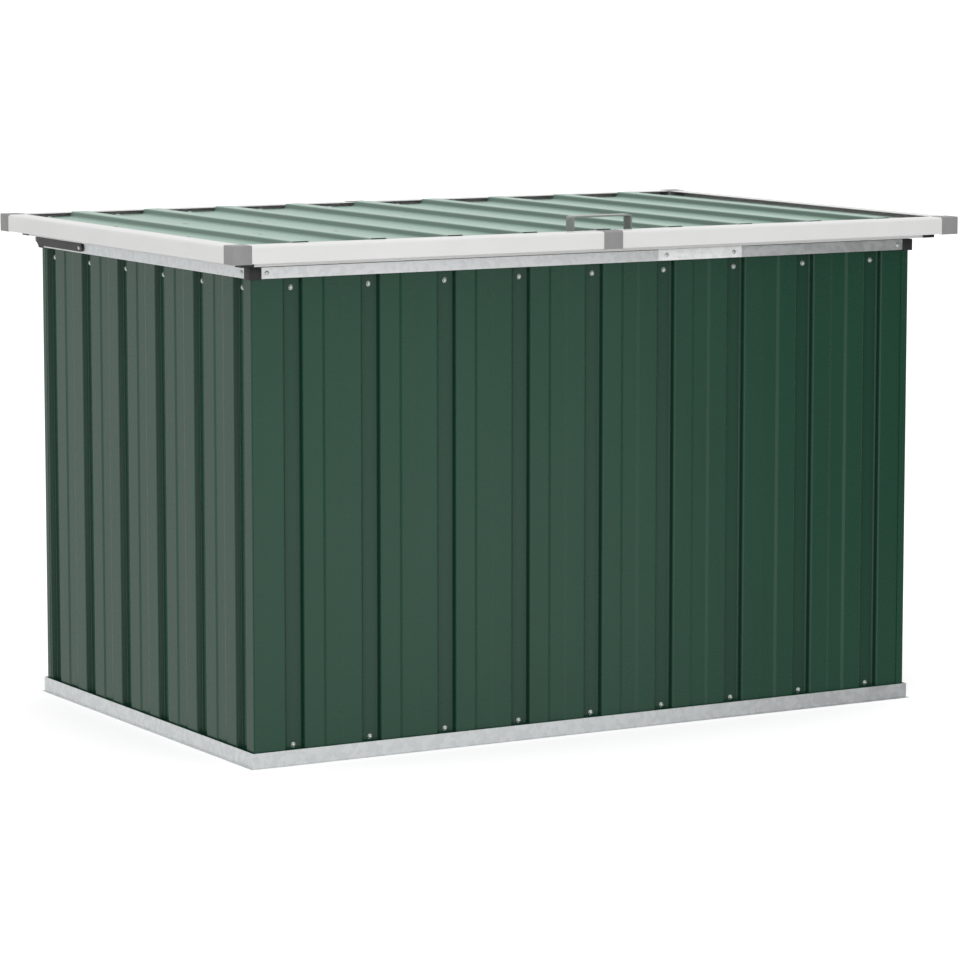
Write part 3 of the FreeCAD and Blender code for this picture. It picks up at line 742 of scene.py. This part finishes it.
@dataclass(frozen=True)
class CrossHeadScrew:
    """A pan head with a cross recess on a plain shank, standing on the origin with its head up.

    The dome lists the rings of the head from its rim up: the share of the height that each adds,
    and its share of the radius.
    """

    head_radius: float
    head_height: float
    shank_radius: float
    washer_radius: float = 0.0
    washer_thickness: float = 0.0
    sides: int = 16
    dome: tuple[tuple[float, float], ...] = ((0.4, 1.0), (0.3, 0.9), (0.2, 0.7), (0.1, 0.4))
    recess_share: float = 0.55
    recess_width_share: float = 0.16
    recess_depth_share: float = 0.6
    tip_share: float = 0.7
    washer_rim_share: float = 0.6
    washer_top_share: float = 0.92

    def head(self) -> bpy.types.Object:
        """Raises the domed head from a disc and cuts the cross into it.

        Returns:
            The head.
        """
        base = self.washer_thickness
        head = start_disc("screw_head", self.head_radius, self.sides, base)
        height = base
        ring = 1.0
        with editing(head):
            for rise, share in self.dome:
                height += rise * self.head_height
                pull_out(Vector((0, 0, rise * self.head_height)), share / ring, Vector((0, 0, height)))
                ring = share
            face_outwards()
        reach = self.recess_share * self.head_radius
        half_width = self.recess_width_share * self.head_radius
        floor = height - self.recess_depth_share * self.head_height
        for across, along in ((reach, half_width), (half_width, reach)):
            low = Vector((-across, -along, floor))
            carve(head, start_block("recess", low, Vector((across, along, height + self.head_height))))
        return head

    def shank(self, length: float) -> bpy.types.Object:
        """Draws the shank down from a disc, with a chamfered tip.

        Args:
            length: how far it reaches below the origin.

        Returns:
            The shank.
        """
        chamfer = (1 - self.tip_share) * self.shank_radius
        shank = start_disc("screw_shank", self.shank_radius, self.sides)
        with editing(shank):
            pull_out(Vector((0, 0, chamfer - length)))
            pull_out(Vector((0, 0, -chamfer)), self.tip_share, Vector((0, 0, -length)))
            face_outwards()
        return shank

    def washer(self) -> bpy.types.Object:
        """Raises the washer from a disc, with its rim drawn in.

        Returns:
            The washer.
        """
        washer = start_disc("washer", self.washer_radius, self.sides)
        top = Vector((0, 0, self.washer_thickness))
        rim = top * self.washer_rim_share
        with editing(washer):
            pull_out(rim)
            pull_out(top - rim, self.washer_top_share, top)
            face_outwards()
        return washer

    def build(self, length: float) -> bpy.types.Object:
        """Makes the whole fastener.

        Args:
            length: how far its shank reaches below the origin.

        Returns:
            The fastener at the origin.
        """
        pieces = [self.head(), self.shank(length)]
        if self.washer_radius:
            pieces.append(self.washer())
        whole = join("fastener", pieces)
        take(whole)
        bpy.ops.object.shade_smooth_by_angle(angle=ROUND_ABOVE)
        return whole

    def row(self, name: str, node: str, heading: Callable[[Vector], Vector]) -> bpy.types.Object:
        """Copies the fastener to every solid of a CAD node.

        Args:
            name: the new piece's name.
            node: the CAD node whose solids it stands for.
            heading: gives where the head of the fastener at a point faces.

        Returns:
            The piece.
        """
        stands = self.washer_thickness + self.head_height
        places = []
        lengths = []
        for index, (low, high) in enumerate(solid_boxes(node)):
            centre = (low + high) / 2
            direction = heading(centre)
            length = abs((high - low).dot(direction))
            seat = centre + direction * (length / 2 - stands)
            places.append(standing_on(seat, direction, index * GOLDEN_ANGLE))
            lengths.append(length - stands)
        return copies(name, self.build(min(lengths)), places)


SMALL_SCREW = CrossHeadScrew(head_radius=4.0 * MM, head_height=2.0 * MM, shank_radius=2.0 * MM)
WALL_BOLT = CrossHeadScrew(
    head_radius=3.8 * MM,
    head_height=2.6 * MM,
    shank_radius=2.5 * MM,
    washer_radius=4.8 * MM,
    washer_thickness=1.0 * MM,
)


@dataclass
class Walls:
    """The coated wall sheets and corner strips."""

    sheets: tuple[str, ...] = (
        "front_wall_long_sheet",
        "front_wall_short_sheet",
        "rear_wall_long_sheet",
        "rear_wall_short_sheet",
        "left_wall_sheet",
        "right_wall_sheet",
    )

    def build(self) -> None:
        """Dresses the sheets and strips."""
        dress(Finish.GREEN_COAT, *self.sheets)
        dress(Finish.GREEN_COAT, *("corner_strip_" + corner for corner in CORNER_NAMES))


@dataclass
class BoxRails:
    """The galvanised rails round the foot and the top of the box, with their splice plates."""

    screw: CrossHeadScrew = SMALL_SCREW

    def build(self) -> None:
        """Dresses the rails and builds the screws of the splice plates and connectors."""
        dress(Finish.GALVANISING, *("base_rail_" + side for side in SIDE_NAMES))
        for side in ("front", "rear"):
            # The front and rear top rails take a lighter copy of the galvanising, as painted light against
            # the lid's shade.
            dress(Finish.BRIGHT_ZINC, f"top_rail_{side}_long", f"top_rail_{side}_short")
            dress(Finish.NEW_ZINC, f"splice_plate_{side}")
        dress(Finish.GALVANISING, "top_rail_left", "top_rail_right")
        for node in ("splice_screws", "connector_screws"):
            piece = self.screw.row(node.removesuffix("s") + "_set", node, outwards)
            mount(piece, Body.BOX, Finish.ZINC_PLATE, node)


@dataclass
class WallBolts:
    """The bolts in the grooves of the walls and the nuts behind them."""

    bolt: CrossHeadScrew = WALL_BOLT
    nut_width: float = 8.0 * MM
    nut_height: float = 4.0 * MM
    nut_bore: float = 2.7 * MM
    nut_edge: float = 0.4 * MM

    def nut(self) -> bpy.types.Object:
        """Makes a chamfered hexagon nut with its bore, centred on the origin.

        Returns:
            The nut.
        """
        corner_radius = self.nut_width / math.sqrt(3)
        half = self.nut_height / 2
        nut = start_disc("nut", corner_radius, sides=6, height=-half)
        with editing(nut):
            pull_out(Vector((0, 0, self.nut_height)))
            face_outwards()
            pick_faces(nut, lambda centre, normal: abs(normal.z) > FACES)
            bpy.ops.mesh.inset(thickness=self.nut_width / 2 - self.nut_bore, use_individual=True)
            bpy.ops.mesh.bridge_edge_loops()
            face_outwards()
        soften(nut, self.nut_edge, segments=1)
        return nut

    def build(self) -> None:
        """Builds the bolts and nuts of all four walls."""
        bolts = self.bolt.row("wall_bolt_set", "wall_bolts", outwards)
        mount(bolts, Body.BOX, Finish.ZINC_PLATE, "wall_bolts")
        places = []
        for index, (low, high) in enumerate(solid_boxes("wall_nuts")):
            centre = (low + high) / 2
            places.append(standing_on(centre, outwards(centre), index * GOLDEN_ANGLE))
        nuts = copies("wall_nut_set", self.nut(), places)
        mount(nuts, Body.BOX, Finish.ZINC_PLATE, "wall_nuts")


@dataclass
class Connectors:
    """The moulded connectors at the top corners of the box."""

    wall: float = 3.0 * MM
    leg: float = 22.0 * MM
    proud: float = 0.5 * MM
    edge: float = 0.7 * MM

    def corner_block(self, corner: str) -> tuple[Vector, Vector]:
        """Finds the block that a connector's skins and roof enclose.

        Args:
            corner: the corner's name.

        Returns:
            The block's lowest and highest corner.
        """
        low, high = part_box("top_connector_" + corner)
        reach = self.leg + self.proud
        if "left" in corner:
            high.x = low.x + reach
        else:
            low.x = high.x - reach
        if "front" in corner:
            high.y = low.y + reach
        else:
            low.y = high.y - reach
        return low, high

    def build(self) -> None:
        """Builds the four connectors."""
        for corner in CORNER_NAMES:
            low, high = self.corner_block(corner)
            piece = start_block("connector_" + corner, low, high)
            inner_x = Vector((1 if "left" in corner else -1, 0, 0))
            inner_y = Vector((0, 1 if "front" in corner else -1, 0))
            open_sides = (-UP, inner_x, inner_y)
            with editing(piece):
                pick_faces(piece, lambda centre, normal: max(normal.dot(side) for side in open_sides) > FACES)
                bpy.ops.mesh.delete(type="FACE")
            apply_modifier(piece, "SOLIDIFY", thickness=self.wall, offset=-1, use_even_offset=True)
            soften(piece, self.edge)
            mount(piece, Body.BOX, Finish.BLACK_PLASTIC, "top_connector_" + corner)


@dataclass
class Hinges:
    """The hinge brackets on the box, the leaves on the lid, their pins and screws."""

    screw: CrossHeadScrew = SMALL_SCREW

    def build(self) -> None:
        """Dresses the hinges and builds their screws."""
        dress(Finish.BLACK_POWDER_COAT, "hinge_bracket_left", "hinge_bracket_right")
        dress(Finish.BLACK_POWDER_COAT, "hinge_leaf_left", "hinge_leaf_right")
        dress(Finish.ZINC_PLATE, "hinge_pins")
        bracket_screws = self.screw.row("hinge_bracket_screw_set", "hinge_bracket_screws", outwards)
        mount(bracket_screws, Body.BOX, Finish.ZINC_PLATE, "hinge_bracket_screws")
        leaf_screws = self.screw.row("hinge_leaf_screw_set", "hinge_leaf_screws", lambda point: -UP)
        mount(leaf_screws, Body.LID, Finish.ZINC_PLATE, "hinge_leaf_screws")


@dataclass
class LidFrame:
    """The painted rails round the lid, their caps and clips, and the brackets under the corners."""

    cap_wall: float = 2.0 * MM
    cap_edge: float = 1.6 * MM
    cap_edge_faces: int = 3

    def cap(self, corner: str) -> bpy.types.Object:
        """Makes a corner cap, hollow from below.

        Args:
            corner: the corner's name.

        Returns:
            The cap.
        """
        low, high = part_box("lid_cap_" + corner)
        cap = start_block("corner_cap_" + corner, low, high)
        with editing(cap):
            pick_faces(cap, lambda centre, normal: -normal.z > FACES)
            bpy.ops.mesh.delete(type="FACE")
        round_edges(cap, self.cap_edge, self.cap_edge_faces)
        apply_modifier(cap, "SOLIDIFY", thickness=self.cap_wall, offset=-1, use_even_offset=True)
        take(cap)
        bpy.ops.object.shade_smooth_by_angle(angle=SMOOTH_BELOW)
        return cap

    def build(self) -> None:
        """Dresses the frame and builds its caps."""
        for side in ("front", "rear"):
            dress(Finish.PALE_PAINT, f"lid_rail_{side}_left", f"lid_rail_{side}_right")
            dress(Finish.GREY_PLASTIC, f"lid_rail_clip_{side}")
        dress(Finish.PALE_PAINT, "lid_rail_left", "lid_rail_right")
        dress(Finish.BLACK_PLASTIC, "lid_corner_brackets")
        for corner in CORNER_NAMES:
            mount(self.cap(corner), Body.LID, Finish.GREY_PLASTIC, "lid_cap_" + corner)


@dataclass
class LidCover:
    """The coated lid sheets, the bars under them and the screws that hold them."""

    screw: CrossHeadScrew = SMALL_SCREW

    def build(self) -> None:
        """Dresses the cover and builds its screws."""
        dress(Finish.LID_COAT, "lid_long_sheet", "lid_short_sheet")
        dress(Finish.GALVANISING, "lid_cross_bar_front", "lid_cross_bar_rear")
        screws = self.screw.row("lid_screw_set", "lid_screws", lambda point: UP)
        mount(screws, Body.LID, Finish.SCREW_PAINT, "lid_screws")


@dataclass
class Handle:
    """The handle: a flat strap bent to a staple, with its feet turned outwards."""

    thickness: float = 3.0 * MM
    foot: float = 28.0 * MM
    top_bend: float = 5.0 * MM
    foot_bend: float = 5.0 * MM
    bend_steps: int = 6
    edge: float = 0.6 * MM
    merge_within: float = 0.01 * MM
    screw: CrossHeadScrew = SMALL_SCREW

    def bend(self, centre: Vector, angle: float) -> None:
        """Spins the selected end of the strap about a line across it.

        Args:
            centre: a point on the line.
            angle: how far, in radians.
        """
        bpy.ops.mesh.spin(steps=self.bend_steps, angle=angle, center=centre, axis=(0, 1, 0))

    def strap(self) -> bpy.types.Object:
        """Draws the strap from the end of its left foot to the end of its right foot.

        Returns:
            The strap.
        """
        low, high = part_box("handle")
        foot_end = Vector((low.x + self.thickness, high.y, low.z + self.thickness))
        strap = start_block("handle_strap", low, foot_end)
        leg = low.x + self.foot
        quarter = math.pi / 2
        middle_y = (low.y + high.y) / 2
        foot_inner = self.foot_bend - self.thickness
        with editing(strap):
            pick_faces(strap, lambda centre, normal: normal.x > FACES)
            pull_out(Vector((leg - foot_inner - low.x - self.thickness, 0, 0)))
            self.bend(Vector((leg - foot_inner, middle_y, low.z + self.foot_bend)), quarter)
            pull_out(Vector((0, 0, high.z - self.top_bend - low.z - self.foot_bend)))
            self.bend(Vector((leg + self.top_bend, middle_y, high.z - self.top_bend)), -quarter)
            pull_out(Vector((-2 * (leg + self.top_bend), 0, 0)))
            self.bend(Vector((-leg - self.top_bend, middle_y, high.z - self.top_bend)), -quarter)
            pull_out(Vector((0, 0, low.z + self.foot_bend - high.z + self.top_bend)))
            self.bend(Vector((-leg + foot_inner, middle_y, low.z + self.foot_bend)), quarter)
            pull_out(Vector((self.foot - foot_inner, 0, 0)))
            bpy.ops.mesh.select_all(action="SELECT")
            bpy.ops.mesh.remove_doubles(threshold=self.merge_within)
            bpy.ops.mesh.select_all(action="DESELECT")
            bpy.ops.mesh.select_interior_faces()
            bpy.ops.mesh.delete(type="FACE")
            face_outwards()
        soften(strap, self.edge)
        return strap

    def build(self) -> None:
        """Builds the strap and its screws."""
        mount(self.strap(), Body.LID, Finish.HANDLE_PAINT, "handle")
        screws = self.screw.row("handle_screw_set", "handle_screws", lambda point: UP)
        mount(screws, Body.LID, Finish.ZINC_PLATE, "handle_screws")


@dataclass(frozen=True)
class Card:
    """An upright card that only shows in reflections, with its shade given at heights in metres.

    It is turned about the upright axis by some degrees from facing the front.
    """

    name: str
    centre: Vector
    turn: float
    width: float
    shades: tuple[tuple[float, float], ...]
    height: float = 6.0

    def material(self) -> bpy.types.Material:
        """Makes the card glow as its shades say, where 1 is as bright as the surround.

        Returns:
            The material.
        """
        graph = Graph(self.name)
        parts = graph.add("ShaderNodeSeparateXYZ")
        graph.join(graph.place, parts.inputs["Vector"])
        foot = self.centre.z - self.height / 2
        level = graph.add("ShaderNodeMapRange")
        level.inputs["From Min"].default_value = foot
        level.inputs["From Max"].default_value = foot + self.height
        graph.join(parts.outputs["Z"], level.inputs["Value"])
        glow = graph.add("ShaderNodeValToRGB")
        stops = glow.color_ramp.elements
        while len(stops) < len(self.shades):
            stops.new(1.0)
        for stop, (height, shade) in zip(stops, self.shades):
            stop.position = (height - foot) / self.height
            stop.color = (shade, shade, shade, 1)
        graph.join(level.outputs["Result"], glow.inputs["Fac"])
        graph.set("Base Color", (0, 0, 0, 1))
        graph.set("Specular IOR Level", 0.0)
        graph.set("Emission Strength", 1.0)
        graph.feed("Emission Color", glow.outputs["Color"])
        return graph.material

    def build(self) -> None:
        """Stands the card up."""
        deselect()
        turn = (math.pi / 2, 0, math.radians(self.turn))
        bpy.ops.mesh.primitive_plane_add(size=1, location=self.centre, rotation=turn)
        card = bpy.context.object
        card.name = self.name
        card.scale = (self.width, self.height, 1)
        settle(card)
        card.data.materials.append(self.material())
        card.visible_camera = False
        card.visible_diffuse = False
        card.visible_shadow = False
        card.visible_transmission = False


@dataclass(frozen=True)
class Studio:
    """A pale floor in an even white surround, with cards that the metal and gloss mirror."""

    floor_size: float = 400.0
    floor_colour: Colour = (0.8, 0.8, 0.8)
    floor_glow: float = 0.4
    lamp_size: float = 3.0
    top_lamp_place: Vector = Vector((0, 0, 4))
    top_lamp_watts: float = 20.0
    front_lamp_place: Vector = Vector((-2, -3.6, 1.6))
    front_lamp_watts: float = 30.0
    aim: Vector = Vector((0, 0, 0.45))
    cards: tuple[Card, ...] = (
        Card(
            "front_card",
            centre=Vector((-0.5, -2.4, 0.5)),
            turn=0,
            width=4.0,
            shades=((-0.58, 0.25), (-0.44, 1.2), (0.15, 1.2), (0.65, 0.72)),
        ),
        Card(
            "right_card",
            centre=Vector((3.5, -2.4, 0.5)),
            turn=0,
            width=4.0,
            shades=((-0.45, 0.4), (-0.2, 0.22), (0.3, 0.1)),
        ),
        Card(
            "left_card",
            centre=Vector((-2.7, -1.5, 0.5)),
            turn=-60,
            width=1.6,
            shades=((0.0, 0.15), (1.0, 0.15)),
        ),
        Card(
            "rear_card",
            centre=Vector((-2.6, 2.8, 0.5)),
            turn=30,
            width=5.0,
            shades=((0.0, 0.8), (1.0, 0.8)),
        ),
    )
    camera_azimuth: float = -30.0053
    camera_distance: float = 7.7122
    camera_side: float = 6.805 * MM
    camera_height: float = 1.41442
    camera_pitch: float = 7.4425
    focal_length: float = 156.337
    sensor: float = 36.0
    surround_colour: Colour = (1.0, 1.0, 1.0)

    def surround(self) -> None:
        """Makes the even white world."""
        world = bpy.data.worlds.new("white_surround")
        world.use_nodes = True
        bpy.context.scene.world = world
        world.node_tree.nodes["Background"].inputs["Color"].default_value = (*self.surround_colour, 1)

    def floor(self) -> None:
        """Lays a floor that looks white where no shadow falls."""
        deselect()
        bpy.ops.mesh.primitive_plane_add(size=self.floor_size)
        floor = bpy.context.object
        floor.name = "studio_floor"
        graph = Graph("studio_floor")
        seen = graph.add("ShaderNodeLightPath")
        glow = graph.add("ShaderNodeMath")
        glow.operation = "MULTIPLY"
        glow.inputs[1].default_value = self.floor_glow
        graph.join(seen.outputs["Is Camera Ray"], glow.inputs[0])
        graph.set("Base Color", (*self.floor_colour, 1))
        graph.set("Roughness", 1.0)
        graph.set("Specular IOR Level", 0.0)
        graph.set("Emission Color", (1, 1, 1, 1))
        graph.feed("Emission Strength", glow.outputs["Value"])
        floor.data.materials.append(graph.material)
        floor.visible_glossy = False

    def lamp(self, place: Vector, watts: float) -> None:
        """Sets up a large soft lamp that faces the object.

        Args:
            place: where it stands.
            watts: its power.
        """
        turn = (self.aim - place).to_track_quat("-Z", "Y").to_euler()
        bpy.ops.object.light_add(type="AREA", location=place, rotation=turn)
        lamp = bpy.context.object.data
        lamp.shape = "SQUARE"
        lamp.size = self.lamp_size
        lamp.energy = watts

    def camera(self) -> None:
        """Sets the camera where the photograph was taken from."""
        azimuth = math.radians(self.camera_azimuth)
        back = Vector((math.sin(azimuth), -math.cos(azimuth), 0))
        right = Vector((math.cos(azimuth), math.sin(azimuth), 0))
        place = back * self.camera_distance + right * self.camera_side + UP * self.camera_height
        turn = (math.radians(90 - self.camera_pitch), 0, azimuth)
        bpy.ops.object.camera_add(location=place, rotation=turn)
        camera = bpy.context.object
        camera.data.lens = self.focal_length
        camera.data.sensor_width = self.sensor
        bpy.context.scene.camera = camera

    def build(self) -> None:
        """Sets up the floor, light, cards and camera."""
        self.surround()
        self.floor()
        for card in self.cards:
            card.build()
        self.lamp(self.top_lamp_place, self.top_lamp_watts)
        self.lamp(self.front_lamp_place, self.front_lamp_watts)
        self.camera()
        bpy.context.scene.view_settings.view_transform = "Standard"
        log.info("set up the studio")


def main() -> None:
    """Builds every sub-assembly in order, then the studio."""
    logging.basicConfig(level=logging.INFO, format="%(message)s")
    for assembly in (
        Walls(),
        BoxRails(),
        WallBolts(),
        Connectors(),
        Hinges(),
        LidFrame(),
        LidCover(),
        Handle(),
        Studio(),
    ):
        assembly.build()


if __name__ == "__main__":
    main()
